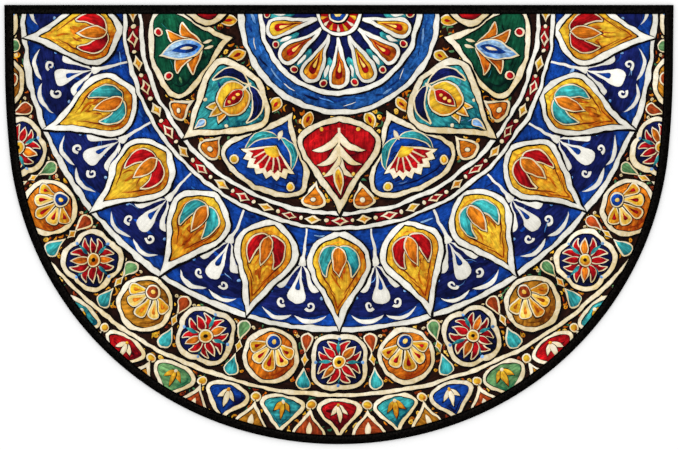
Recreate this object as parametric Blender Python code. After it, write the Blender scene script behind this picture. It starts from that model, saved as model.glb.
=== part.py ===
"""Half-moon rug: a flat printed textile panel with one straight and one round edge, bound all
round with a tape that is folded over the edge.

Z is up, and the rug rests on z = 0. X runs along the straight edge, which is on the +Y side. The
origin is the middle of the footprint, on the floor. All lengths are in metres.
"""

from math import cos, pi, radians, sin

import bmesh
import bpy


# Outline of one half, from the middle of the round edge up to the straight edge: three arcs that
# run smoothly into each other, each with its radius, its sweep in degrees and its mesh steps, and
# then a straight side that carries on in the same direction.
ARCS = (
    (0.4677, 19.36, 13),
    (0.4339, 64.83, 41),
    (1.2310, 5.22, 10),
)
DEPTH = 0.5907
SIDE_STEPS = 2
STRAIGHT_EDGE_STEPS = 12

# Binding tape, folded round the edge of the panel.
TAPE_THICKNESS = 0.0008
BINDING_WIDTH = 0.0125
BINDING_HEIGHT = 0.0054
FOLD_LENGTH = 0.0030
TAPE_END_BEVEL = 0.0003
FOLD_STEPS = 10

# Printed panel: full thickness in the middle, pressed thinner where the tape grips it.
PANEL_THICKNESS = 0.0050
CLEARANCE = 0.0003
SHOULDER_START = BINDING_WIDTH + CLEARANCE
SHOULDER_LENGTH = 0.0008
EDGE_ROUNDING = 0.0012
EDGE_STEPS = 6


def half_outline(inset):
    """Right half of the outline, moved inward by inset, as (x, y) points from the middle of the
    round edge to the corner at the straight edge."""
    points = []
    x = 0.0
    y = -DEPTH / 2
    heading = 0.0
    for radius, sweep, steps in ARCS:
        centre_x = x - radius * sin(heading)
        centre_y = y + radius * cos(heading)
        for step in range(steps):
            angle = heading + radians(sweep) * step / steps
            points.append((
                centre_x + (radius - inset) * sin(angle),
                centre_y - (radius - inset) * cos(angle),
            ))
        heading += radians(sweep)
        x = centre_x + radius * sin(heading)
        y = centre_y - radius * cos(heading)
    start_x = x - inset * sin(heading)
    start_y = y + inset * cos(heading)
    length = (DEPTH / 2 - inset - start_y) / sin(heading)
    for step in range(SIDE_STEPS + 1):
        along = length * step / SIDE_STEPS
        points.append((start_x + along * cos(heading), start_y + along * sin(heading)))
    return points


def outline(inset):
    """Whole outline, moved inward by inset, counter-clockwise seen from above."""
    right = half_outline(inset)
    corner_x, corner_y = right[-1]
    straight = [
        (corner_x * (1 - 2 * step / STRAIGHT_EDGE_STEPS), corner_y)
        for step in range(1, STRAIGHT_EDGE_STEPS)
    ]
    left = [(-x, y) for x, y in reversed(right[1:])]
    return right + straight + left


def quarter_ellipse(centre, reach, rise, steps, start):
    """Section points on a quarter of an ellipse, from the angle start through 90 degrees."""
    points = []
    for step in range(steps + 1):
        angle = start + pi / 2 * step / steps
        points.append((centre[0] + reach * cos(angle), centre[1] + rise * sin(angle)))
    return points


def fold_section(shrink):
    """Outer side of a fold, from its top to its underside, moved inward by shrink."""
    centre = (FOLD_LENGTH, BINDING_HEIGHT / 2)
    reach = FOLD_LENGTH - shrink
    rise = BINDING_HEIGHT / 2 - shrink
    top = quarter_ellipse(centre, reach, rise, FOLD_STEPS // 2, pi / 2)
    under = quarter_ellipse(centre, reach, rise, FOLD_STEPS // 2, pi)
    return top + under[1:]


def binding_section():
    """Closed section of the folded tape, as (inset, z) points."""
    top = BINDING_HEIGHT
    outer = fold_section(0.0)
    inner = fold_section(TAPE_THICKNESS)
    upper_end = [
        (BINDING_WIDTH, top - TAPE_THICKNESS),
        (BINDING_WIDTH, top - TAPE_END_BEVEL),
        (BINDING_WIDTH - TAPE_END_BEVEL, top),
    ]
    lower_end = [
        (BINDING_WIDTH, 0.0),
        (BINDING_WIDTH, TAPE_THICKNESS),
    ]
    return upper_end + outer + lower_end + inner[::-1]


def panel_section():
    """Open section of the panel, as (inset, z) points from its face to its underside."""
    grip_top = BINDING_HEIGHT - TAPE_THICKNESS - CLEARANCE
    grip_bottom = TAPE_THICKNESS + CLEARANCE
    full = SHOULDER_START + SHOULDER_LENGTH
    crown = full + EDGE_ROUNDING
    rounding = quarter_ellipse(
        (crown, PANEL_THICKNESS - SHOULDER_LENGTH / 2),
        crown - full, SHOULDER_LENGTH / 2, EDGE_STEPS // 2, pi / 2,
    )
    margin = fold_section(TAPE_THICKNESS + CLEARANCE)
    return (
        rounding
        + [(SHOULDER_START, grip_top)]
        + margin
        + [(SHOULDER_START, grip_bottom), (full, 0.0)]
    )


def add_ring(mesh, inset, height):
    """One ring of vertices along the outline."""
    return [mesh.verts.new((x, y, height)) for x, y in outline(inset)]


def bridge(mesh, first, second):
    """Faces between two rings, which face outward when first lies inside or above second."""
    count = len(first)
    for index in range(count):
        following = (index + 1) % count
        mesh.faces.new((first[index], second[index], second[following], first[following]))


def fabric(name, color, roughness):
    """Plain textile material."""
    material = bpy.data.materials.new(name)
    material.use_nodes = True
    shader = material.node_tree.nodes["Principled BSDF"]
    shader.inputs["Base Color"].default_value = (*color, 1.0)
    shader.inputs["Roughness"].default_value = roughness
    shader.inputs["Metallic"].default_value = 0.0
    material.diffuse_color = (*color, 1.0)
    return material


def add_object(name, mesh, material):
    """Turns a finished mesh into a scene object, smooth along its round faces."""
    data = bpy.data.meshes.new(name)
    bmesh.ops.recalc_face_normals(mesh, faces=mesh.faces)
    for face in mesh.faces:
        face.smooth = len(face.verts) == 4
    mesh.to_mesh(data)
    mesh.free()
    data.materials.append(material)
    built = bpy.data.objects.new(name, data)
    bpy.context.scene.collection.objects.link(built)
    return built


def build_binding(material):
    """Tape folded over the edge, one closed body with mitred corners."""
    mesh = bmesh.new()
    rings = [add_ring(mesh, inset, height) for inset, height in binding_section()]
    for index, ring in enumerate(rings):
        bridge(mesh, ring, rings[(index + 1) % len(rings)])
    return add_object("edge_binding", mesh, material)


def build_panel(material):
    """Printed sheet, one closed body with flat face and underside."""
    mesh = bmesh.new()
    rings = [add_ring(mesh, inset, height) for inset, height in panel_section()]
    for upper, lower in zip(rings, rings[1:]):
        bridge(mesh, upper, lower)
    mesh.faces.new(rings[0])
    mesh.faces.new(rings[-1][::-1])
    return add_object("printed_panel", mesh, material)


def main():
    for leftover in list(bpy.data.objects):
        bpy.data.objects.remove(leftover, do_unlink=True)
    build_panel(fabric("printed_textile", (0.36, 0.27, 0.22), 0.90))
    build_binding(fabric("black_tape", (0.006, 0.005, 0.004), 0.75))


main()
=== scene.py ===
"""The half-moon rug as it looks in use: printed panel, bound edge and sewing, lying on a pale floor."""

from math import ceil, pi, radians

import bpy
import numpy as np
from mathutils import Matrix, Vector
from mathutils.geometry import delaunay_2d_cdt


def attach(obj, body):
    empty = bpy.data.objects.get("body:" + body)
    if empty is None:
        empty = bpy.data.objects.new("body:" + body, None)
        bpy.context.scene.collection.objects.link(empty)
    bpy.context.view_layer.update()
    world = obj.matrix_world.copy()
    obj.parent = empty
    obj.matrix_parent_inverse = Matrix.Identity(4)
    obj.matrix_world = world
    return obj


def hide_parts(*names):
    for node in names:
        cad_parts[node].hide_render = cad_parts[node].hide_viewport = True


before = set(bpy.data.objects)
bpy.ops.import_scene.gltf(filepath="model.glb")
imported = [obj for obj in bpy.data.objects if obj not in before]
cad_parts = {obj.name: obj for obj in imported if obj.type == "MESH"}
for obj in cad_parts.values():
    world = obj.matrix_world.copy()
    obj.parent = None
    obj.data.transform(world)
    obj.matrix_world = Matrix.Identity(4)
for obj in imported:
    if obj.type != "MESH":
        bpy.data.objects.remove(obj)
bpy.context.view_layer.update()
scene = bpy.context.scene

TAU = 2 * pi
MM = 0.001

# Outline of one half, from the middle of the round edge: radius in metres and sweep in degrees.
ARCS = (
    (0.4677, 19.36),
    (0.4339, 64.83),
    (1.2310, 5.22),
)
DEPTH = 0.5907
STRAIGHT_EDGE = 0.9

# The folded tape and the panel between its two sides, in metres.
BINDING_WIDTH = 0.0125
BINDING_HEIGHT = 0.0054
TAPE_THICKNESS = 0.0008
FOLD_LENGTH = 0.0030
FACE_HEIGHT = 0.0050


def rim(inset, spacing):
    """The outline moved inward by inset, as points x + iy, counter-clockwise from the middle of
    the round edge."""
    spot = -0.5j * DEPTH
    heading = 1 + 0j
    runs = []
    for radius, sweep in ARCS:
        centre = spot + 1j * radius * heading
        steps = ceil(radius * radians(sweep) / spacing)
        turn = np.exp(1j * radians(sweep) * np.arange(steps) / steps)
        runs.append(centre - 1j * (radius - inset) * heading * turn)
        heading *= np.exp(1j * radians(sweep))
        spot = centre - 1j * radius * heading
    start = spot + 1j * inset * heading
    length = (DEPTH / 2 - inset - start.imag) / heading.imag
    steps = ceil((DEPTH / 2 - spot.imag) / spacing)
    runs.append(start + heading * length * np.linspace(0, 1, steps + 1))
    right = np.concatenate(runs)
    corner = right[-1]
    steps = ceil(STRAIGHT_EDGE / spacing)
    straight = corner.real * np.linspace(1, -1, steps + 1)[1:-1] + 1j * corner.imag
    left = -np.conj(right[:0:-1])
    return np.concatenate([right, straight, left])


# The printed design is in millimetres, in points x + iy about the middle of the rug. Its rings are
# centred on the straight side, where the tape ends.
CENTRE = 283j

# Outer radii of its rings, from the middle out.
BOSS = 27
SUN_OUT = 106
BAND_OUT = 132
FIELDS_OUT = 268
CHAIN_OUT = 288
STARS_OUT = 424
TILES_OUT = 512
PRINT_OUT = 640

# How many motifs go round each ring.
PETALS = 14
FIELDS = 7
LOZENGES = 52
STARS = 21
TILES = 32
RIM_LEAVES = 44

RNG = np.random.default_rng(11)

# Inks: darker and lighter tone of each, in display values.
TONES = {
    "white": ((210, 206, 192), (250, 248, 240)),
    "cream": ((212, 189, 138), (252, 246, 228)),
    "ink": ((6, 5, 6), (14, 10, 10)),
    "cobalt": ((6, 8, 50), (24, 84, 190)),
    "azure": ((6, 20, 76), (44, 112, 192)),
    "navy": ((5, 6, 24), (24, 34, 100)),
    "sky": ((52, 120, 196), (190, 222, 238)),
    "teal": ((4, 66, 84), (72, 198, 196)),
    "red": ((80, 3, 13), (222, 24, 28)),
    "wine": ((34, 2, 8), (118, 10, 18)),
    "gold": ((176, 82, 8), (255, 220, 60)),
    "yellow": ((228, 168, 30), (255, 240, 150)),
    "orange": ((140, 44, 6), (246, 146, 34)),
    "amber": ((100, 48, 8), (214, 146, 40)),
    "brown": ((9, 6, 7), (46, 22, 13)),
    "rust": ((96, 26, 12), (200, 84, 34)),
    "green": ((3, 24, 22), (20, 92, 62)),
    "leaf": ((30, 92, 62), (128, 176, 110)),
}

# Inks brushed over a field of each: a second one, and the one of its hairlines.
BRUSHED_OVER = {
    "cobalt": ("navy", "sky"),
    "navy": ("cobalt", "azure"),
    "teal": ("azure", "sky"),
    "red": ("wine", "wine"),
    "green": ("leaf", "teal"),
    "leaf": ("green", "cream"),
    "gold": ("orange", "rust"),
    "orange": ("gold", "brown"),
    "amber": ("orange", "brown"),
}

# Where the painted light comes from, and where the heavier side of each dark line lies.
LIT_FROM = np.exp(0.7j * pi)
SHADOW = 0.7 - 0.8j

# Half outline of each leaf-like form: where its two handles lie, along and across.
BLADES = {
    "leaf": (0.25, 1.30, 0.65, 0.90),
    "drop": (0.55, 0.15, 0.97, 1.75),
    "flame": (0.15, 1.90, 0.60, 0.30),
    "star": (0.30, 1.75, 0.52, 0.32),
}

# How far a sharp corner follows when its outline is moved, at an inner tip and elsewhere.
TIP_HOLD = 0.12
CORNER_HOLD = 0.45

shapes = []


def paint(outline, tone, lift=0.0):
    """Adds a printed shape over those before it, lifted to a lighter tone or lowered."""
    shapes.append((outline, tone, lift))


def grow(outline, distance):
    """The outline moved outward, or inward below 0, with its sharp corners held back and without
    the points that would cross over it."""
    run = np.roll(outline, -1) - outline
    ahead = run / np.maximum(abs(run), 1e-9)
    behind = np.roll(ahead, 1)
    middle = ahead + behind
    size = np.maximum(abs(middle), 1e-6)
    inner_tip = ((np.conj(behind) * ahead).imag > 0) & (distance < 0)
    hold = np.where(inner_tip, TIP_HOLD, CORNER_HOLD)
    moved = outline - 1j * middle / size * distance / np.maximum(size / 2, hold)
    along = ((moved[:, None] - outline) * np.conj(run)).real / np.maximum(abs(run) ** 2, 1e-9)
    gap = abs(moved[:, None] - outline - run * np.clip(along, 0, 1)).min(axis=1)
    least_gap = 0.85 * abs(distance)
    kept = moved[gap > least_gap]
    return kept if len(kept) > 4 else moved


def blade(length, width, form="leaf", steps=8, start=0.0):
    """A leaf-like outline of this length from its root at start."""
    along, across, along_tip, across_tip = BLADES[form]
    half = 0.5j * width
    first = length * along + half * across
    second = length * along_tip + half * across_tip
    t = np.linspace(0, 1, steps)
    u = 1 - t
    side = 3 * u**2 * t * first + 3 * u * t**2 * second + t**3 * length
    return np.append(np.conj(side), side[-2:0:-1]) + start


def disc(radius, steps=0, at=0.0, lobes=0, depth=0.0):
    """Round outline, or one with round lobes parted by notches."""
    spacing = 3
    steps = steps or int(np.clip(radius * TAU / spacing, 10, 220))
    angle = np.arange(steps) / steps * TAU
    notch = depth * (1 - abs(np.cos(lobes * angle / 2)))
    return radius * (1 - notch) * np.exp(1j * angle) + at


def diamond(reach, width, steps=24):
    """Four-pointed outline with hollow sides."""
    hollow = 0.85
    angle = np.arange(steps) / steps * TAU
    swell = (abs(np.cos(angle)) ** hollow + abs(np.sin(angle)) ** hollow) ** (-1 / hollow)
    return (reach * np.cos(angle) + 1j * width * np.sin(angle)) * swell


def stroke(path, width):
    """Outline of a brush stroke along a path."""
    course = np.gradient(path)
    side = 0.5j * width * course / np.maximum(abs(course), 1e-9)
    return np.append(path - side, (path + side)[::-1])


def bowed(start, end, bow, steps):
    """Path between two points, bowed sideways."""
    t = np.linspace(0, 1, steps)
    return start + (end - start) * (t + 4j * bow * t * (1 - t))


def frond(start, end, bow, width, steps=14):
    """Curved leaf, thickest before its middle."""
    t = np.linspace(0, 1, steps)
    blunt_end = 0.02 * width
    return stroke(bowed(start, end, bow, steps), width * np.sin(pi * t**0.8) ** 0.8 + blunt_end)


def curl(size, turns, side, steps=24):
    """Spiral path that leaves 0 along the real axis and winds in."""
    tightening = 0.82
    reach = 2.4
    t = np.linspace(0, 1, steps)
    step = np.exp(1j * side * turns * TAU * t) * (1 - tightening * t)
    return np.append(0, np.cumsum(step)[:-1]) * size / steps * reach


def scroll(size, turns, side, width, root, turn):
    """Spiral brush stroke from a root, which thins to its end."""
    thinning = 0.55
    path = curl(size, turns, side)
    taper = width * (1 - thinning * np.linspace(0, 1, len(path)))
    return stroke(path, taper) * np.exp(1j * turn) + root


def dabs(outline, tone, count, length, lift=0.34):
    """Loose brush marks in a field: by turns darker, of its second ink, lighter and a hairline."""
    second, hairline = BRUSHED_OVER[tone]
    # Ink, lift and share of the length that is the width.
    kinds = ((tone, -0.6, 0.12), (second, 0.0, 0.30), (tone, lift, 0.26), (hairline, 0.0, 0.08))
    tries = 8
    margin = 0.84
    middle = outline.mean()
    arms = outline - middle
    course = np.exp(0.5j * np.angle((arms**2).sum()))
    for number in range(count):
        for _ in range(tries):
            spot = middle + arms[RNG.integers(len(arms))] * RNG.uniform(0.05, 0.80)
            half = 0.5 * length * RNG.uniform(0.6, 1.3) * course * np.exp(1j * RNG.normal(0, 0.35))
            ends = np.array([spot - half, spot + half]) - middle
            reach = np.interp(np.angle(ends), np.angle(arms), abs(arms), period=TAU)
            if (abs(ends) < margin * reach).all():
                ink, change, share = kinds[number % 4]
                bow = RNG.uniform(-0.25, 0.25)
                width = length * share * RNG.uniform(0.6, 1.1)
                paint(frond(spot - half, spot + half, bow, width, steps=8), ink, change)
                break


def on(place, spot, turn=0.0, size=1.0):
    """Sets outlines down about a spot of another placing."""
    turned = size * np.exp(1j * turn)
    return lambda outline: place(outline * turned + spot)


def ray(angle):
    """Sets outlines down along a ray from the centre."""
    return on(lambda outline: outline, CENTRE, angle)


def around(count, offset=0.0):
    """Rays of a ring of motifs from the foot of the design, each with a number that its mirrored
    twin shares."""
    for index in range(count):
        other = (count - index - bool(offset)) % count
        yield ray(-TAU / 4 + TAU * (index + offset) / count), min(index, other)


def glint(outline, tone):
    """A light line along a field's lit side and a darker one along the other."""
    middle = outline.mean()
    line = middle + 0.84 * (outline - middle)
    facing = ((line - middle) * np.conj(LIT_FROM)).real
    reach = max(len(line) // 7, 2)
    for index, lift, width in ((np.argmax(facing), 0.5, 1.5), (np.argmin(facing), -0.6, 1.9)):
        path = line[np.arange(index - reach, index + reach + 1) % len(line)]
        paint(stroke(path, width * np.sin(np.linspace(0.05, 0.95, len(path)) * pi)), tone, lift)


def pressure(outline):
    """How hard the brush presses along an outline, about 1."""
    steps = abs(np.roll(outline, -1) - outline)
    along = np.cumsum(steps) / steps.sum() * TAU
    total = np.ones(len(outline))
    for length, strength in ((140, 0.14), (62, 0.15), (31, 0.11)):
        waves = max(1, round(steps.sum() / length))
        total += strength * np.sin(waves * along + RNG.uniform(0, TAU))
    return total


def cell(outline, tone, line, ink, contour="cream", brushed=0):
    """A field, brushed or plain, in a light contour between two dark lines."""
    outward = line / 2 * pressure(outline)
    inward = line / 2 * pressure(outline)
    paint(grow(outline, outward + ink) + SHADOW, "ink")
    paint(grow(outline, outward), contour)
    paint(grow(outline, -inward), "ink")
    ground = grow(outline, -inward - ink * 0.7) + 0.4 * SHADOW
    paint(ground, tone)
    if brushed:
        dabs(ground, tone, brushed, 14.0)
        glint(ground, tone)


def rimmed(outline, tone, rim=1.8, ink=1.0):
    """A small shape with a light rim and a thin dark line."""
    paint(grow(outline, rim + ink) + 0.3 * SHADOW, "ink")
    if rim:
        paint(grow(outline, rim), "cream")
    paint(outline, tone)


def leaf_pair(place, root, tip, bow, width, tone, rim=1.2):
    """Two mirrored leaves with a rim and a midrib."""
    for side in (1, -1):
        start = root.real + 1j * side * root.imag
        end = tip.real + 1j * side * tip.imag
        leaf = frond(start, end, bow * side, width)
        paint(place(grow(leaf, rim)), "cream")
        paint(place(leaf), tone)
        paint(place(stroke(bowed(start, end, bow * side, 10)[2:-2], 0.9)), tone, lift=0.5)


def gilding(inner, outer, count):
    """Loose commas and scrolls strewn over a ring's dark ground."""
    tones = ("gold", "yellow", "orange", "gold", "rust", "leaf")
    for number in range(count):
        radius = np.sqrt(RNG.uniform(inner**2, outer**2))
        place = ray(RNG.uniform(-1.03, 0.03) * pi)
        side = RNG.choice((-1, 1))
        half = RNG.uniform(3.2, 6.0) * np.exp(1j * RNG.uniform(0, TAU))
        if number % 3 == 1:
            path = curl(10.0, 1.25, side, 14)
            mark = stroke((path - path.mean()) * half / abs(half) + radius, 2.0)
        else:
            bow = RNG.uniform(0.20, 0.50) * side
            mark = frond(radius - half, radius + half, bow, RNG.uniform(2.2, 3.6), steps=8)
        paint(place(mark), tones[number % 6], lift=-0.1)


def lily(place):
    """Three round petals with a cup on a stem that tapers."""
    paint(place(stroke(np.linspace(0, 0.50, 8) + 0j, np.linspace(0.022, 0.05, 8))), "white")
    paint(place(blade(0.20, 0.13, "drop", 10, 0.30)), "white")
    for turn, length in ((-0.80, 0.42), (0.80, 0.42), (0.0, 0.52)):
        petal = on(place, 0.48, turn)
        paint(petal(blade(length, 0.27, "drop", 12)), "white")
        paint(petal(blade(0.20, 0.085, "drop", start=0.14)), "cobalt")


def lotus(place):
    """Pointed bud in nested petals, with two smaller petals at each side."""
    for side in (1, -1):
        for reach, width in ((0.34 + 0.62j, 0.24), (0.72 + 0.52j, 0.30)):
            petal = frond(0.0, reach.real + 1j * side * reach.imag, -0.16 * side, width)
            rimmed(place(petal), "orange", rim=1.5)
    rimmed(place(blade(1.0, 0.52, steps=14)), "sky", rim=2.0)
    paint(place(blade(0.66, 0.26, steps=12, start=0.10)), "cobalt")
    paint(place(blade(0.30, 0.09, start=0.22)), "cream")


def tulip(place, tone, heart, rim=1.3):
    """Pointed cup of three petals."""
    for side in (1, -1):
        rimmed(place(frond(0.0, 0.90 + 0.40j * side, 0.24 * side, 0.34)), tone, rim, 0.8)
    rimmed(place(blade(0.88, 0.44, steps=12)), heart, rim, 0.8)


def pomegranate(place):
    """Round fruit with a pointed crown, split over its seeds."""
    for turn in (-0.55, 0.55, 0.0):
        rimmed(on(place, 0.62, turn)(blade(0.40, 0.20, steps=10)), "gold", rim=1.6)
    rimmed(place(disc(0.37, 26, at=0.38)), "gold", rim=2.2, ink=1.2)
    rimmed(place(blade(0.56, 0.34, steps=12, start=0.10)), "red", rim=1.0, ink=0.8)
    for along in (0.26, 0.38, 0.50):
        paint(place(disc(0.042, 8, at=along)), "yellow")


def carnation(place):
    """Fan-shaped flower with a toothed rim on a short calyx."""
    angle = np.linspace(-1.05, 1.05, 29)
    teeth = 0.93 + 0.07 * np.cos(np.arange(29) * pi / 2)
    fan = place(np.append(0, teeth * np.exp(1j * angle)))
    paint(grow(fan, 1.1), "ink")
    paint(fan, "cream")
    paint(place(np.append(0.05, teeth * 0.80 * np.exp(0.92j * angle))), "red")
    for turn in (-0.66, -0.33, 0, 0.33, 0.66):
        paint(place(stroke(np.linspace(0.22, 0.72, 6) * np.exp(1j * turn), 0.045)), "cream")
    paint(place(np.append(0, 0.34 * np.exp(0.9j * angle))), "gold")


def sprig(place):
    """Slim leaves in pairs along a stem with a pointed bud."""
    for root, tip, bow, width in (
        (-2, 22 + 35j, -0.18, 10.0),
        (13, 42 + 30j, -0.18, 9.0),
        (29, 58 + 22j, -0.16, 7.5),
    ):
        for side in (1, -1):
            leaf = frond(root, tip.real + 1j * side * tip.imag, bow * side, width, steps=12)
            paint(place(grow(leaf, 1.0)), "ink")
            paint(place(leaf), "cream")
    paint(place(stroke(np.linspace(-8, 52, 10) + 0j, 3.4)), "cream")
    rimmed(place(blade(32, 14, steps=12, start=46)), "gold", rim=2.0)
    paint(place(blade(15, 5, start=53)), "orange")


def rim_ring():
    """Pointed leaves along the round edge."""
    gilding(TILES_OUT, TILES_OUT + 70, 800)
    tones = ("red", "teal", "cobalt", "leaf")
    for place, index in around(RIM_LEAVES):
        root = on(place, TILES_OUT + 5)
        cell(root(blade(49, 62, "flame", 16)), tones[index % 4], 4.6, 1.4, brushed=2)
        leaf_tone, stud_tone = ("gold", "cream") if index % 2 else ("cream", "gold")
        for turn in (-0.75, 0.75, 0.0):
            leaf = on(root, 9, turn)(blade(24 - 8 * abs(turn), 8.5))
            rimmed(leaf, leaf_tone, rim=0.0, ink=0.8)
        paint(root(disc(2.6, 8, at=9)), stud_tone)
    for place, index in around(RIM_LEAVES, 0.5):
        rimmed(place(disc(4.6, 12, at=TILES_OUT + 14)), "gold", ink=0.9)
        leaf = blade(44, 46, "flame", 14) * -1 + TILES_OUT + 68
        cell(place(leaf), "amber" if index % 2 else "rust", 3.6, 1.2)
        paint(place(blade(18, 9) * -1 + TILES_OUT + 56), "cream")


def quatrefoil_tile(place):
    """Four-lobed blue tile with four red tulips about a golden stud."""
    lobed = disc(39, 96, lobes=4, depth=0.16) * np.exp(0.25j * pi)
    cell(place(lobed), "navy", 6.0, 2.0, brushed=4)
    for k in range(4):
        lobe = on(place, 0, TAU * (k + 0.5) / 4)
        tulip(on(lobe, 7, size=24), "red", "orange" if k % 2 else "red")
        gap = on(place, 0, TAU * k / 4)
        paint(gap(blade(17, 6, start=11)), "teal")
        paint(gap(disc(2.2, 8, at=31)), "sky")
    rimmed(place(disc(7.0, 14)), "gold", rim=2.0)
    paint(place(disc(2.8, 8)), "brown")


def fan_tile(place, warm):
    """Round golden tile with a fan of petals that opens outward."""
    ground, heart, stud = ("orange", "red", "cobalt") if warm else ("amber", "orange", "rust")
    cell(place(disc(35)), ground, 5.6, 1.9, brushed=6)
    root = on(place, -20)
    for turn in (-1.10, -0.55, 0.0, 0.55, 1.10):
        petal = on(root, 0, turn)
        reach = 34 - 7 * abs(turn)
        tone = "yellow" if abs(turn) == 0.55 else "gold"
        rimmed(petal(blade(reach, 17, "drop", 10, start=6)), tone, rim=1.5)
        paint(petal(blade(reach - 16, 6.5, "drop", start=17)), heart)
    rimmed(root(disc(8.5, at=1)), stud, rim=2.0)
    paint(root(disc(3.2, 9, at=1)), "yellow")


def tile_ring():
    """Blue and golden tiles by turns, with small fields in the gaps."""
    gilding(STARS_OUT, TILES_OUT - 13, 900)
    for place, index in around(TILES, 0.5):
        rimmed(place(blade(26, 19, "flame", 10) * -1 + TILES_OUT - 6), "teal")
        inner = blade(24, 16, "flame", 10, start=STARS_OUT + 8)
        rimmed(place(inner), "leaf" if index % 2 else "rust")
        rimmed(place(diamond(6.5, 3.6, 12) + STARS_OUT + 42), "gold", rim=1.2, ink=0.8)
        for side in (1, -1):
            outer_root = TILES_OUT - 16 + 12j * side
            inner_root = STARS_OUT + 13 + 11j * side
            paint(place(scroll(8, 1.2, side, 2.0, outer_root, 0.2 * side)), "gold")
            paint(place(scroll(7, 1.2, -side, 1.8, inner_root, pi - 0.2 * side)), "cream", lift=-0.3)
    for place, index in around(TILES):
        middle = on(place, (STARS_OUT + TILES_OUT) / 2)
        if index % 2:
            fan_tile(middle, index % 4 == 1)
        else:
            quatrefoil_tile(middle)


def marks(inner, outer, count, pale):
    """Brush marks along a blue ring, the thin ones in the pale tone."""
    inks = (("azure", 0.5), ("navy", 0.0), ("sky", 0.0), ("cobalt", 0.0), (pale, 0.0))
    steps = np.linspace(-0.5, 0.5, 9)
    for index in range(count):
        turn = TAU * (index + RNG.uniform(-0.35, 0.35)) / count
        radius = RNG.uniform(inner, outer)
        span = RNG.uniform(9, 24) / radius
        path = (radius + RNG.uniform(-5, 5) * steps) * np.exp(1j * (turn + span * steps))
        width = RNG.uniform(1.2, 4.2) * np.sin(np.linspace(0.06, 0.94, 9) * pi) ** 0.7
        if index % 5 == 4:
            width = width * 0.45
        paint(stroke(path, width) + CENTRE, *inks[index % 5])


def star_ring():
    """Golden points on blue, with a pale lily between each two."""
    marks(CHAIN_OUT + 6, CHAIN_OUT + 34, 70, "azure")
    for place, _ in around(STARS, 0.5):
        ground = place(blade(92, 118, "flame", 18) * -1 + STARS_OUT - 11)
        paint(ground, "navy", lift=0.15)
        dabs(ground, "cobalt", 9, 16.0, lift=0.25)
        head = on(place, STARS_OUT - 12)
        for side in (1, -1):
            paint(head(frond(-2 + 2j * side, -9 + 44j * side, -0.20 * side, 5.4, steps=12)), "white")
            paint(head(scroll(19, 1.1, side, 4.0, -14 + 14j * side, 0.9 * side)), "white")
            paint(head(disc(2.2, 8, at=-31 + 34j * side)), "sky")
        lily(on(place, CHAIN_OUT + 2, size=104))
    for place, index in around(STARS):
        root = on(place, CHAIN_OUT + 5)
        petal = blade(126, 94, "star", 24)
        cell(root(petal), "gold", 6.4, 2.2, contour="white")
        glint(root(grow(petal, -4)), "orange")
        line = grow(petal, -11.0)
        for side in (1, -1):
            vein = line[(line.imag * side > 3) & (line.real > 44)]
            vein = vein[np.argsort(vein.real)]
            taper = 2.0 * np.sin(np.linspace(0.08, 0.92, len(vein)) * pi)
            paint(root(stroke(vein, taper)), "rust", lift=-0.2)
        dabs(root(grow(petal, -9)), "gold", 15, 22.0, lift=0.25)
        tulip(on(root, 20, size=44), "red" if index % 2 else "teal", "orange", rim=1.6)


def chain_band():
    """Chain of pale lozenges and beads on red and brown."""
    middle = (CHAIN_OUT + FIELDS_OUT) / 2
    inner = FIELDS_OUT - 2
    outer = CHAIN_OUT - 4.6
    turn = np.linspace(-1, 1, 7) * pi / LOZENGES
    block = stroke((inner + outer) / 2 * np.exp(1j * turn), outer - inner)
    for place, _ in around(LOZENGES // 2):
        paint(place(block), "red", lift=-0.25)
    for place, index in around(LOZENGES):
        spot = on(place, middle)
        paint(spot(diamond(7.4, 12.5)), "ink")
        paint(spot(diamond(6.6, 11.2)), "cream")
        paint(spot(diamond(3.8, 7.2)), "gold" if index % 2 else "red")
    for place, _ in around(LOZENGES, 0.5):
        paint(place(disc(3.6, 12, at=middle)), "ink")
        paint(place(disc(2.7, 10, at=middle)), "cream")


def pointed_field(place, red):
    """Large field that points outward, red with a pale sprig or teal with a fruit."""
    root = on(place, BAND_OUT + 9)
    cell(root(blade(121, 112, "flame", 24)), "red" if red else "teal", 7.0, 2.4, brushed=21)
    if red:
        sprig(on(root, 20))
        for side in (1, -1):
            paint(root(disc(2.8, 9, at=14 + 24j * side)), "yellow")
            paint(root(disc(2.4, 9, at=74 + 21j * side)), "yellow")
    else:
        leaf_pair(root, 12 + 2j, 46 + 37j, 0.26, 12, "navy", rim=1.8)
        pomegranate(on(root, 19, size=58))
        paint(root(stroke(np.linspace(8, 24, 6) + 0j, 3.0)), "cream")
        rimmed(root(blade(17, 9, "flame", 9, start=88)), "sky", rim=1.6)
        for side in (1, -1):
            paint(root(disc(2.4, 8, at=72 + 22j * side)), "cream")


def small_field(place, blue):
    """Round-headed field that points inward, blue with a carnation or green with a lotus."""
    root = on(place, FIELDS_OUT - 9)
    headed = blade(108, 132, "flame", 22) * -1
    cell(root(headed), "cobalt" if blue else "green", 6.0, 2.2, brushed=18)
    if blue:
        leaf_pair(root, -74 + 2j, -42 + 34j, 0.22, 9, "teal")
        carnation(on(root, -62, size=46))
        for side in (1, -1):
            rimmed(root(disc(4.6, at=-22 + 42j * side)), "gold", rim=1.7)
        paint(root(blade(16, 7, start=-86)), "cream")
    else:
        lotus(on(root, -70, size=56))
        for side in (1, -1):
            rimmed(root(disc(4.6, at=-17 + 30j * side)), "red", rim=1.7)
            paint(root(blade(14, 5, start=-86) + 4j * side), "cream")


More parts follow.
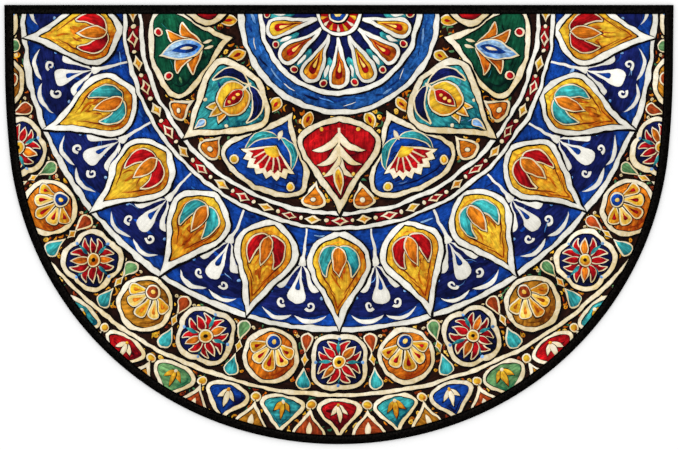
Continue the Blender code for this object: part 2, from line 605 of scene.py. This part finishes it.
def field_ring():
    """Two kinds of fields by turns on dark brown, with small ones in the gaps."""
    gilding(BAND_OUT + 4, FIELDS_OUT - 13, 800)
    for place, _ in around(FIELDS):
        for side in (1, -1):
            near = on(place, 0, 0.135 * side)
            drop = blade(33, 32, "flame", 14) * -1 + FIELDS_OUT - 5
            cell(near(drop), "orange", 3.0, 1.2)
            rimmed(near(disc(3.4, 9, at=FIELDS_OUT - 16)), "cream", rim=0.0, ink=0.8)
            for bend in (1, -1):
                root = FIELDS_OUT - 18 + 15j * bend
                paint(near(scroll(9, 1.2, bend, 2.2, root, 0.1 * bend)), "gold")
                paint(near(disc(1.8, 8, at=FIELDS_OUT - 30 + 12j * bend)), "orange")
            near = on(place, 0, 0.285 * side)
            rimmed(near(blade(22, 15, steps=10, start=BAND_OUT + 6)), "gold", rim=1.6)
            paint(near(blade(10, 5, start=BAND_OUT + 11)), "red")
    for place, index in around(FIELDS, 0.5):
        small_field(place, index % 2 == 0)
    for place, index in around(FIELDS):
        pointed_field(place, index % 2 == 0)


def blue_band():
    """Light brush marks on a plain blue band."""
    marks(SUN_OUT + 9, BAND_OUT - 9, 44, "white")


def sun():
    """Golden petals with red hearts round the boss in the middle."""
    for place, _ in around(PETALS, 0.5):
        paint(place(blade(40, 20, steps=12, start=SUN_OUT - 46)), "teal")
        paint(place(blade(18, 7, start=SUN_OUT - 36)), "white")
        rimmed(place(disc(3.6, 10, at=SUN_OUT - 11)), "red", rim=1.4, ink=0.8)
    for place, index in around(PETALS):
        petal = blade(70, 30, "drop", 16, start=BOSS + 1)
        cell(place(petal), "gold" if index % 2 else "orange", 4.4, 1.3, contour="white")
        paint(place(blade(36, 12, "drop", 12, start=52)), "red")
        paint(place(blade(16, 5, "drop", start=64)), "yellow")
    middle = ray(0)
    cell(middle(disc(BOSS)), "red", 4.6, 1.5, contour="white")
    for place, index in around(PETALS):
        paint(place(blade(11, 5.4, "drop", start=13)), "gold" if index % 2 else "cream")
    cell(middle(disc(11)), "cobalt", 2.4, 1.2)
    paint(middle(disc(4.4, 36, lobes=6, depth=0.2)), "yellow")


# Zones over the ground of the rim: outer radius, tone, contour's width, dark line's width,
# contour's tone and what fills it.
ZONES = (
    (TILES_OUT, "brown", 5.0, 1.6, "cream", tile_ring),
    (STARS_OUT, "cobalt", 6.4, 2.0, "white", star_ring),
    (CHAIN_OUT, "brown", 4.6, 1.6, "white", chain_band),
    (FIELDS_OUT, "brown", 5.0, 1.7, "white", field_ring),
    (BAND_OUT, "azure", 6.4, 1.8, "white", blue_band),
    (SUN_OUT, "navy", 6.4, 1.8, "white", sun),
)


def design():
    """The whole printed design, from its ground up."""
    paint(disc(PRINT_OUT, 60, at=CENTRE), "brown")
    rim_ring()
    for radius, tone, line, ink, contour, fill in ZONES:
        cell(disc(radius, 220, at=CENTRE), tone, line, ink, contour)
        fill()
    return shapes


def wave_table(waves):
    """Waves of a smooth uneven field: direction with frequency, phase and strength."""
    table = []
    for length, strength in waves:
        for _ in range(3):
            course = np.exp(1j * RNG.uniform(0, TAU)) * TAU / length
            table.append((course, RNG.uniform(0, TAU), strength * np.exp(1j * RNG.uniform(0, TAU))))
    return table


# Lengths and strengths, in millimetres, of what moves the outlines as a hand would, and lengths and
# shares of what clouds the inks.
SHIFTS = wave_table(((70, 0.60), (42, 0.45), (25, 0.32), (14, 0.20), (8.5, 0.12)))
TREMBLE = wave_table(((48, 0.20), (27, 0.16), (15, 0.12)))
CLOUDS = wave_table(((210, 0.30), (120, 0.26), (70, 0.22), (38, 0.18)))


def field(points, table):
    """Sum of the waves in a table at each point."""
    total = np.zeros(len(points), complex)
    for course, phase, strength in table:
        total += strength * np.sin((points * np.conj(course)).real + phase)
    return total


def inside(outline, xs, ys):
    """Range of the spots, sorted by y, at an outline's height, and which are inside."""
    low, high = np.searchsorted(ys, (outline.imag.min(), outline.imag.max()))
    turns = np.zeros(high - low, int)
    for start, end in zip(outline, np.roll(outline, -1)):
        rising = end.imag > start.imag
        foot, top = (start, end) if rising else (end, start)
        first, last = np.searchsorted(ys, (foot.imag, top.imag))
        if first < last:
            slope = (top.real - foot.real) / (top.imag - foot.imag)
            edge = foot.real + (ys[first:last] - foot.imag) * slope
            turns[first - low:last - low] += np.where(xs[first:last] < edge, 1 if rising else -1, 0)
    return low, high, turns > 0


def topmost(outlines, spots):
    """Number of the last outline over each spot, or -1 where there is none."""
    order = np.argsort(spots.imag)
    xs = spots.real[order]
    ys = spots.imag[order]
    found = np.full(len(spots), -1)
    for index, outline in enumerate(outlines):
        low, high, covered = inside(outline, xs, ys)
        found[order[low:high][covered]] = index
    return found


def triangulate(points, edges):
    """Triangles that keep the edges: the points, the corners of each, and their middles."""
    whole_hull = 0
    least_gap = 1e-4
    places = [Vector((z.real, z.imag)) for z in points]
    result = delaunay_2d_cdt(places, edges, [], whole_hull, least_gap, False)
    spots = np.array([complex(v.x, v.y) for v in result[0]])
    corners = np.array(result[2])
    return spots, corners, spots[corners].mean(axis=1)


def loops(outlines):
    """Points and edges of closed outlines."""
    edges = []
    start = 0
    for outline in outlines:
        count = len(outline)
        edges += [(start + k, start + (k + 1) % count) for k in range(count)]
        start += count
    return np.concatenate(outlines), edges


def linear(srgb):
    """Linear light from display values of 0 to 255."""
    value = np.asarray(srgb, float) / 255
    return np.where(value < 0.04045, value / 12.92, ((value + 0.055) / 1.055) ** 2.4)


def boundary_edges(corners, owner):
    """Edges between triangles of different owners."""
    pairs = np.concatenate([corners[:, [0, 1]], corners[:, [1, 2]], corners[:, [2, 0]]])
    pairs = np.sort(pairs, axis=1)
    owners = np.tile(owner, 3)
    order = np.lexsort((pairs[:, 1], pairs[:, 0]))
    pairs = pairs[order]
    owners = owners[order]
    twin = (pairs[1:] == pairs[:-1]).all(axis=1)
    return pairs[:-1][twin & (owners[1:] != owners[:-1])]


# Printed face, in millimetres: how far in it ends under the tape, the rings of its mesh beside the
# tape, how deep the tape presses it, and its mesh elsewhere.
FACE_EDGE = 11.4
SHOULDER = (12.2, 12.8, 13.4, 14.2, 15.0)
PRESSED = 0.55
LONGEST_SIDE = 5.0
GRID_REACH = (440, 290)
GRID_STEP = 6.0
GRID_SHIFT = 2

# Shapes that start beyond this are not printed.
SHOWN = 445 + 290j

# Shapes whose middle is this close to the centre are rings.
RING_MIDDLE = 8

# How strongly brush streaks show in an ink, if not fully.
STREAKS = {"white": 0.18, "cream": 0.24, "ink": 0.30, "yellow": 0.6, "gold": 0.7}

# Where a colour lies from its dark to its light tone: at least, and what it gains outward in its
# shape, away from its edge, towards the painted light and in a cloud.
TONE_LEAST = 0.24
TONE_OUTWARD = 0.08
TONE_INNER = 0.32
TONE_LIT = 0.30
TONE_CLOUD = 0.34


def rim_mm(inset, spacing):
    """The rug's outline moved inward, all in millimetres."""
    return rim(inset * MM, spacing * MM) / MM


def face_drop(spots):
    """How far the tape presses the face down, in millimetres."""
    drop = np.zeros(len(spots))
    beside = topmost([rim_mm(SHOULDER[-1], 6)], spots) < 0
    line = rim_mm(0, 1.5)
    inset = np.array([abs(line - spot).min() for spot in spots[beside]])
    x = np.clip((inset - SHOULDER[0]) / (SHOULDER[-1] - SHOULDER[0]), 0, 1)
    drop[beside] = PRESSED * (1 - x * x * (3 - 2 * x))
    return drop


def refine(outline):
    """The outline with its long sides halved, twice, on a smooth curve where it turns gently."""
    gentle = 0.7
    for _ in range(2):
        run = np.roll(outline, -1) - outline
        turn = abs(np.angle(run * np.conj(np.roll(run, 1))))
        smooth = (turn < gentle) & (np.roll(turn, -1) < gentle)
        straight = outline + run / 2
        curved = straight + (run - np.roll(run, 1) - (np.roll(run, -1) - run)) / 16
        added = np.where(smooth, curved, straight)
        kept = np.stack([np.ones(len(run), bool), abs(run) > LONGEST_SIDE], axis=1).ravel()
        outline = np.stack([outline, added], axis=1).ravel()[kept]
    return outline


def hand_drawn():
    """The printed shapes that show on the rug, their outlines moved as a hand would."""
    found = []
    for outline, tone, lift in design():
        outline = refine(outline)
        hand = outline + field(outline, SHIFTS)
        hand = hand + field(hand + RNG.uniform(0, 900), TREMBLE)
        if hand.imag.min() < SHOWN.imag and abs(hand.real).min() < SHOWN.real:
            found.append((hand, tone, lift))
    return found


def cut_face(outlines):
    """Mesh of the face, cut where shapes meet: its points, the corners and middle of each triangle,
    and the number of the shape on top there."""
    edge = rim_mm(FACE_EDGE, 6)
    spots, corners, middles = triangulate(*loops([edge, *outlines]))
    owner = topmost(outlines, middles)
    owner[topmost([edge], middles) < 0] = -2
    used, seams = np.unique(boundary_edges(corners, owner), return_inverse=True)
    kept = spots[used]
    rings, ring_edges = loops([rim_mm(inset, 8) for inset in SHOULDER])
    xs, ys = (np.arange(-reach, reach + 1, GRID_STEP) for reach in GRID_REACH)
    grid = (xs + 1j * ys[:, None]).ravel()
    grid = grid + RNG.uniform(-GRID_SHIFT, GRID_SHIFT, len(grid))
    grid = grid + 1j * RNG.uniform(-GRID_SHIFT, GRID_SHIFT, len(grid))
    edges = [tuple(pair) for pair in seams.reshape(-1, 2).tolist()]
    edges += [(a + len(kept), b + len(kept)) for a, b in ring_edges]
    spots, corners, middles = triangulate(np.concatenate([kept, rings, grid]), edges)
    within = topmost([edge], middles) >= 0
    owner = topmost(outlines, middles)
    return spots, corners[within], middles[within], owner[within]


def corner_colors(found, spots, corners, owner):
    """Linear colour at each corner of the triangles."""

    def own(values):
        """The value of the shape on top of each triangle."""
        return np.array(values)[owner][:, None]

    outlines, tones, lifts = zip(*found)
    near = own([abs(o - CENTRE).min() for o in outlines])
    far = own([abs(o - CENTRE).max() for o in outlines])
    middle = own([o.mean() for o in outlines])
    size = own([abs(o - o.mean()).max() for o in outlines])
    tint = own(RNG.uniform(0.90, 1.10, len(found)))
    ringed = abs(middle - CENTRE) < RING_MIDDLE
    at_corner = spots[corners]
    outward = (abs(at_corner - CENTRE) - near) / np.maximum(far - near, 8)
    outward = np.where(ringed, 0.5, np.clip(outward, 0, 1))
    lit = np.where(ringed, 0.0, ((at_corner - middle) * np.conj(LIT_FROM)).real / size)
    cloud = field(at_corner.ravel(), CLOUDS).real.reshape(at_corner.shape)
    low = np.full(len(spots), len(found))
    high = np.full(len(spots), -1)
    for k in range(3):
        np.minimum.at(low, corners[:, k], owner)
        np.maximum.at(high, corners[:, k], owner)
    inner = (low == high).astype(float)[corners]
    mix = TONE_LEAST + TONE_OUTWARD * outward + TONE_INNER * inner + TONE_LIT * lit + TONE_CLOUD * cloud
    mix = np.clip(mix + own(lifts), 0, 1)[..., None]
    dark, light = (own([linear(TONES[tone][k]) for tone in tones]) for k in (0, 1))
    return np.clip((dark * (1 - mix) + light * mix) * tint[..., None], 0, 1)


def add_object(name, data):
    """A scene object with this data."""
    made = bpy.data.objects.new(name, data)
    scene.collection.objects.link(made)
    return made


def add_piece(name, places, faces, smooth=True):
    """A scene object with a mesh of these points and faces."""
    data = bpy.data.meshes.new(name)
    data.from_pydata(places, [], faces)
    if smooth:
        data.shade_smooth()
    return add_object(name, data)


def raised(points, heights):
    """Places in space of points x + iy at their heights."""
    heights = np.broadcast_to(heights, points.shape)
    return np.stack([points.real, points.imag, heights], axis=-1).reshape(-1, 3).tolist()


def print_face():
    """Printed face, with a colour at each corner of its triangles."""
    found = hand_drawn()
    outlines, tones, _ = zip(*found)
    spots, corners, middles, owner = cut_face(outlines)
    color = corner_colors(found, spots, corners, owner)
    streaks = np.array([STREAKS.get(tone, 1.0) for tone in tones])[owner]
    streaks = np.broadcast_to(streaks[:, None, None], (*corners.shape, 1))
    ringed = np.array([abs(o.mean() - CENTRE) < RING_MIDDLE for o in outlines])[owner]
    axis = np.array([0.5 * np.angle(((o - o.mean()) ** 2).sum()) for o in outlines])[owner]
    grain = np.where(ringed, np.angle(middles - CENTRE) + pi / 2, axis)
    seed = RNG.uniform(0, 50, len(found))[owner]

    used, flat = np.unique(corners, return_inverse=True)
    corners = flat.reshape(corners.shape)
    spots = spots[used]
    places = raised(spots * MM, FACE_HEIGHT - face_drop(spots) * MM)
    face = add_piece("printed_face", places, corners.tolist())
    layer = face.data.color_attributes.new("Print", "FLOAT_COLOR", "CORNER")
    layer.data.foreach_set("color", np.concatenate([color, streaks], axis=2).ravel())
    for name, values in (("Grain", grain), ("Seed", seed)):
        face.data.attributes.new(name, "FLOAT", "FACE").data.foreach_set("value", values)
    margin = 0.002
    chart = []
    for values in (spots.real, spots.imag):
        share = (values - values.min()) / np.ptp(values)
        chart.append((share * (1 - 2 * margin) + margin)[corners.ravel()])
    face.data.uv_layers.new(name="OFBake").data.foreach_set("uv", np.stack(chart, axis=1).ravel())
    return face


def swept(name, sections, tube):
    """Piece swept through rings of points: a smooth tube, or a solid with a face at each end."""
    count = len(sections[0][0])
    rows = len(sections)
    places = []
    for points, height in sections:
        places += raised(points, height)
    faces = []
    for row in range(rows if tube else rows - 1):
        here = row * count
        there = (row + 1) % rows * count
        for k in range(count):
            following = (k + 1) % count
            faces.append((here + k, there + k, there + following, here + following))
    if not tube:
        faces.append(tuple(range(count)))
        faces.append(tuple(range(rows * count - 1, (rows - 1) * count - 1, -1)))
    return add_piece(name, places, faces, smooth=tube)


# Section of the cloth under the face, from above to below: inset and height, in metres.
PANEL_SECTION = (
    (0.0130, 0.0043), (0.0050, 0.0042), (0.0022, 0.0036), (0.0014, 0.0027),
    (0.0022, 0.0018), (0.0050, 0.0012), (0.0128, 0.0011), (0.0136, 0.0),
)

# The tape: its dip along the sewing, how it rolls down at its inner edge, the creases across it at
# the rug's corners, its mesh, and where its chart has its true length.
STITCH_INSET = 0.0100
DIP_DEPTH = 0.00022
DIP_WIDTH = 0.0009
ROLL_DEPTH = 0.00035
ROLL_INSET = 0.0115
ROLL_WIDTH = 0.0010
CREASE_WIDTH = 0.0006
CREASE_DEPTH = 0.0003
TOP_ROWS = 22
TAPE_SPACING = 0.004
CHART_INSET = 0.0060

# Sewing thread.
STITCH_PITCH = 0.0038
THREAD_RADIUS = 0.00026
THREAD_SINK = 0.00040
THREAD_ARCH = 0.00032


def tape_top(inset):
    """Height of the tape's upper side."""
    dip = DIP_DEPTH * np.exp(-(((inset - STITCH_INSET) / DIP_WIDTH) ** 2))
    roll = ROLL_DEPTH * np.clip((inset - ROLL_INSET) / ROLL_WIDTH, 0, 1) ** 2
    return BINDING_HEIGHT - dip - roll


def tape_section():
    """Section of the folded tape as insets and heights, its upper side first."""
    half = BINDING_HEIGHT / 2
    reach = FOLD_LENGTH - TAPE_THICKNESS
    top = np.linspace(BINDING_WIDTH, FOLD_LENGTH, TOP_ROWS)
    section = [(inset, tape_top(inset)) for inset in top]
    for angle in np.linspace(0.5, 1.5, 17)[1:] * pi:
        section.append((FOLD_LENGTH * (1 + np.cos(angle)), half * (1 + np.sin(angle))))
    section += [(BINDING_WIDTH, 0.0), (BINDING_WIDTH, TAPE_THICKNESS)]
    for angle in np.linspace(1.5, 0.5, 9) * pi:
        height = half + (half - TAPE_THICKNESS) * np.sin(angle)
        section.append((FOLD_LENGTH + reach * np.cos(angle), height))
    section.append((BINDING_WIDTH, BINDING_HEIGHT - TAPE_THICKNESS))
    return section


def with_creases(points):
    """The outline with a point close to each side of its square corners, and 1 at those, else 0."""
    run = np.roll(points, -1) - points
    square = abs(np.angle(run * np.conj(np.roll(run, 1)))) > 1.0
    course = run / abs(run)
    corners = np.flatnonzero(square)
    before = points[corners] - CREASE_WIDTH * course[corners - 1]
    after = points[corners] + CREASE_WIDTH * course[corners]
    spots = np.append(corners, corners + 1)
    return np.insert(points, spots, np.append(before, after)), np.insert(square * 1.0, spots, 0.0)


def tape():
    """Tape folded over the panel's edge, with a chart along and across it."""
    section = tape_section()
    sections = []
    for row, (inset, height) in enumerate(section):
        line, crease = with_creases(rim(inset, TAPE_SPACING))
        sections.append((line, height - CREASE_DEPTH * crease * (row < TOP_ROWS)))
    built = swept("binding_tape", sections, tube=True)
    line, _ = with_creases(rim(CHART_INSET, TAPE_SPACING))
    run = np.roll(line, -1) - line
    course = run / abs(run)
    along = np.append(0, np.cumsum(abs(run)))
    steps = np.diff(np.array(section + section[:1]), axis=0)
    across = np.append(0, np.cumsum(np.hypot(*steps.T)))
    rows = len(section)
    count = len(line)
    values = []
    for row in range(rows):
        for k in range(count):
            for r, c in ((row, k), (row + 1, k), (row + 1, k + 1), (row, k + 1)):
                shift = sections[r % rows][0][c % count] - line[c % count]
                values += [along[c] + (shift * np.conj(course[k])).real, across[r]]
    built.data.uv_layers.new(name="TapeUV").data.foreach_set("uv", values)
    return built


def stitches():
    """Sewing along the tape, one bent thread for each stitch."""
    line = rim(STITCH_INSET, 0.0005)
    line = np.append(line, line[0])
    along = np.append(0, np.cumsum(abs(np.diff(line))))
    count = round(along[-1] / STITCH_PITCH)
    pitch = along[-1] / count
    rings = 7
    sides = 6
    angle = TAU * np.arange(sides) / sides
    arch = np.sin(np.linspace(0, pi, rings))[:, None]
    radius = THREAD_RADIUS * (0.55 + 0.45 * arch)
    heights = BINDING_HEIGHT - THREAD_SINK + THREAD_ARCH * arch**0.6 + radius * np.sin(angle)
    places = []
    faces = []
    for k in range(count):
        reach = (k + np.linspace(0.09, 0.91, rings)) * pitch
        middle = np.interp(reach, along, line.real) + 1j * np.interp(reach, along, line.imag)
        course = np.gradient(middle)
        course /= abs(course)
        first = len(places)
        places += raised(middle[:, None] + 1j * course[:, None] * radius * np.cos(angle), heights)
        last = first + (rings - 1) * sides
        for here in range(first, last, sides):
            for side in range(sides):
                following = here + (side + 1) % sides
                faces.append((here + side, following, following + sides, here + side + sides))
        faces.append(tuple(range(first + sides - 1, first - 1, -1)))
        faces.append(tuple(range(last, last + sides)))
    return add_piece("binding_stitches", places, faces)


def feed(node, inputs):
    """Sets a node's inputs, each to a value or to another node's output."""
    for name, value in inputs.items():
        if isinstance(value, bpy.types.NodeSocket):
            node.id_data.links.new(value, node.inputs[name])
        else:
            node.inputs[name].default_value = value


def add_node(tree, kind, inputs, **settings):
    """A new node with its settings and inputs."""
    made = tree.nodes.new("ShaderNode" + kind)
    for name, value in settings.items():
        setattr(made, name, value)
    feed(made, inputs)
    return made


def product(tree, first, second):
    """Product of two numbers."""
    return add_node(tree, "Math", {0: first, 1: second}, operation="MULTIPLY").outputs["Value"]


def vectors(tree, operation, inputs):
    """Outcome of an operation on vectors or colours."""
    return add_node(tree, "VectorMath", inputs, operation=operation).outputs["Vector"]


def spread(tree, value, low, high, start=0.0, end=1.0):
    """A value that goes from low to high while another goes from start to end."""
    reach = {"From Min": start, "From Max": end, "To Min": low, "To Max": high}
    return add_node(tree, "MapRange", {"Value": value, **reach}).outputs["Result"]


def noise(tree, place, scale, detail, roughness=0.5):
    """Smooth noise over a place."""
    inputs = {"Vector": place, "Scale": scale, "Detail": detail, "Roughness": roughness}
    return add_node(tree, "TexNoise", inputs).outputs["Fac"]


def ramp(tree, value, stops):
    """Colour of a value between stops, each a position and a colour."""
    made = add_node(tree, "ValToRGB", {"Fac": value})
    elements = made.color_ramp.elements
    for index, (position, color) in enumerate((stops[0], stops[-1], *stops[1:-1])):
        stop = elements[index] if index < 2 else elements.new(position)
        stop.position = position
        stop.color = (*color, 1.0)
    return made.outputs["Color"]


def relief(tree, height, **settings):
    """Normal of a fine relief."""
    inputs = {"Strength": 0.4, "Distance": 0.0003, "Height": height}
    return add_node(tree, "Bump", inputs, **settings).outputs["Normal"]


def print_look(tree):
    """Low textile with brushy strokes in its ink and a fine nap, with painted shade between its tufts.
    """
    ink = add_node(tree, "VertexColor", {}, layer_name="Print")
    grain, seed = (
        add_node(tree, "Attribute", {}, attribute_name=name).outputs["Fac"] for name in ("Grain", "Seed")
    )
    place = add_node(tree, "TexCoord", {}).outputs["Object"]

    back = product(tree, grain, -1.0)
    turned = add_node(tree, "VectorRotate", {"Vector": place, "Angle": back}, rotation_type="Z_AXIS")
    long = vectors(tree, "MULTIPLY", {0: turned.outputs["Vector"], 1: (0.16, 1.0, 1.0)})
    streak = noise(tree, vectors(tree, "ADD", {0: long, 1: seed}), 330.0, 3.0, 0.6)
    blotch = noise(tree, place, 110.0, 4.0, 0.65)
    tone = spread(tree, streak, 0.55, 1.34, start=0.36, end=0.66)
    cloud = spread(tree, blotch, 0.53, 1.42, start=0.30, end=0.70)
    strokes = {"Factor": ink.outputs["Alpha"], "A": 1.0, "B": product(tree, tone, cloud)}
    brushwork = add_node(tree, "Mix", strokes, data_type="FLOAT").outputs["Result"]

    tuft = add_node(tree, "TexVoronoi", {"Vector": place, "Scale": 1900.0})
    # Painted shade between the nap's tufts: the colour darkens away from each tuft's middle.
    gap = spread(tree, tuft.outputs["Distance"], 1.12, 0.86, start=0.15, end=0.80)
    fleck = spread(tree, tuft.outputs["Color"], 0.95, 1.13)
    strength = product(tree, brushwork, product(tree, gap, fleck))
    return {
        "Base Color": vectors(tree, "SCALE", {0: ink.outputs["Color"], "Scale": strength}),
        "Normal": relief(tree, tuft.outputs["Distance"], invert=True),
        "Roughness": 0.88,
        "Specular IOR Level": 0.05,
    }


# Painted shade and highlight across the tape, from its inner edge: dark from the groove beside the face
# to the sewing, lighter on its crown, and darker again as it rolls over its outer edge. Share of its
# width and of its tone.
TAPE_PAINTED_SHADING = ((0.0, 0.40), (0.19, 0.42), (0.30, 1.50), (0.44, 0.90), (0.80, 0.55), (1.0, 0.15))


def tape_look(tree):
    """Near-black woven tape with fine cross ribs, and painted shade and highlight across it."""
    chart = add_node(tree, "UVMap", {}, uv_map="TapeUV").outputs["UV"]
    place = add_node(tree, "TexCoord", {}).outputs["Object"]
    weave = {"Vector": chart, "Scale": 330.0, "Distortion": 0.6, "Detail": 1.0}
    ribs = add_node(tree, "TexWave", weave, bands_direction="X").outputs["Fac"]
    fuzz = noise(tree, place, 420.0, 2.0)
    black = ramp(tree, fuzz, ((0.36, (0.0005, 0.0005, 0.0005)), (0.64, (0.0062, 0.0052, 0.0044))))
    run = add_node(tree, "SeparateXYZ", {0: chart}).outputs["Y"]
    across = add_node(tree, "Math", {0: run, 1: BINDING_WIDTH}, operation="DIVIDE").outputs["Value"]
    # Painted shade at the tape's edges and a painted highlight on its crown, across its width.
    painted_shading = ramp(tree, across, [(position, (value,) * 3) for position, value in TAPE_PAINTED_SHADING])
    shaded_black = vectors(tree, "MULTIPLY", {0: black, 1: painted_shading})
    # The ribs also darken the colour in their hollows and lighten it on their crests: painted shade and
    # highlight.
    return {
        "Base Color": vectors(tree, "SCALE", {0: shaded_black, "Scale": spread(tree, ribs, 0.35, 1.65)}),
        "Normal": relief(tree, ribs),
        "Roughness": 0.9,
        "Specular IOR Level": 0.01,
    }


def underside_look(tree):
    """Plain undyed underside of the cloth."""
    slub = noise(tree, add_node(tree, "TexCoord", {}).outputs["Object"], 500.0, 3.0)
    color = ramp(tree, slub, ((0.0, (0.42, 0.40, 0.36)), (1.0, (0.60, 0.58, 0.53))))
    return {"Base Color": color, "Roughness": 0.95}


# Black sewing thread and pale floor.
THREAD_LOOK = {"Base Color": (0.0070, 0.0064, 0.0058, 1.0), "Roughness": 0.6, "Specular IOR Level": 0.12}
FLOOR_LOOK = {"Base Color": (0.90, 0.90, 0.90, 1.0), "Roughness": 0.9, "Specular IOR Level": 0.0}


def cover(piece, name, look):
    """Gives a piece a material with these shader inputs, or with those a function makes of nodes."""
    material = bpy.data.materials.new(name)
    material.use_nodes = True
    tree = material.node_tree
    feed(tree.nodes["Principled BSDF"], look(tree) if callable(look) else look)
    piece.data.materials.append(material)


def dress():
    """All pieces of the rug, in place of the plain solids."""
    face = print_face()
    cloth = [(rim(inset, 0.010), height) for inset, height in PANEL_SECTION]
    body = swept("panel_body", cloth, tube=False)
    binding = tape()
    sewing = stitches()
    for piece, name, look, part_slot in (
        (face, "printed_textile_face", print_look, "printed_textile"),
        (body, "plain_underside", underside_look, "printed_textile"),
        (binding, "binding_tape_weave", tape_look, "black_tape"),
        (sewing, "binding_thread", THREAD_LOOK, "black_tape"),
    ):
        cover(piece, name, look)
        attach(piece, "root")
    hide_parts("printed_panel")
    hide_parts("edge_binding")


def floor():
    """Plain pale floor."""
    reach = 6
    corners = raised(reach * np.array([-1 - 1j, 1 - 1j, 1 + 1j, -1 + 1j]), 0)
    ground = add_piece("floor", corners, [(0, 1, 2, 3)], smooth=False)
    cover(ground, "floor_white", FLOOR_LOOK)


def light():
    """White studio light, and a broad soft lamp overhead, a little behind the straight side."""
    world = bpy.data.worlds.new("studio")
    scene.world = world
    world.use_nodes = True
    feed(world.node_tree.nodes["Background"], {"Color": (1.0, 1.0, 1.0, 1.0), "Strength": 0.60})
    lamp = bpy.data.lights.new("overhead", "SUN")
    lamp.angle = radians(120)
    lamp.energy = 1.70
    add_object("overhead", lamp).rotation_euler = (radians(-8), 0, 0)


def camera():
    """Straight down from far off, with a little more than the rug's width in view."""
    frame_width = 0.9121
    middle = (0.00074, -0.00059)
    eye = bpy.data.cameras.new("camera")
    eye.lens = 100.0
    eye.sensor_width = 36.0
    eye.clip_end = 50.0
    holder = add_object("camera", eye)
    holder.location = (*middle, frame_width * eye.lens / eye.sensor_width + BINDING_HEIGHT)
    scene.camera = holder


dress()
floor()
light()
camera()
scene.view_settings.view_transform = "Standard"
scene.view_settings.look = "None"
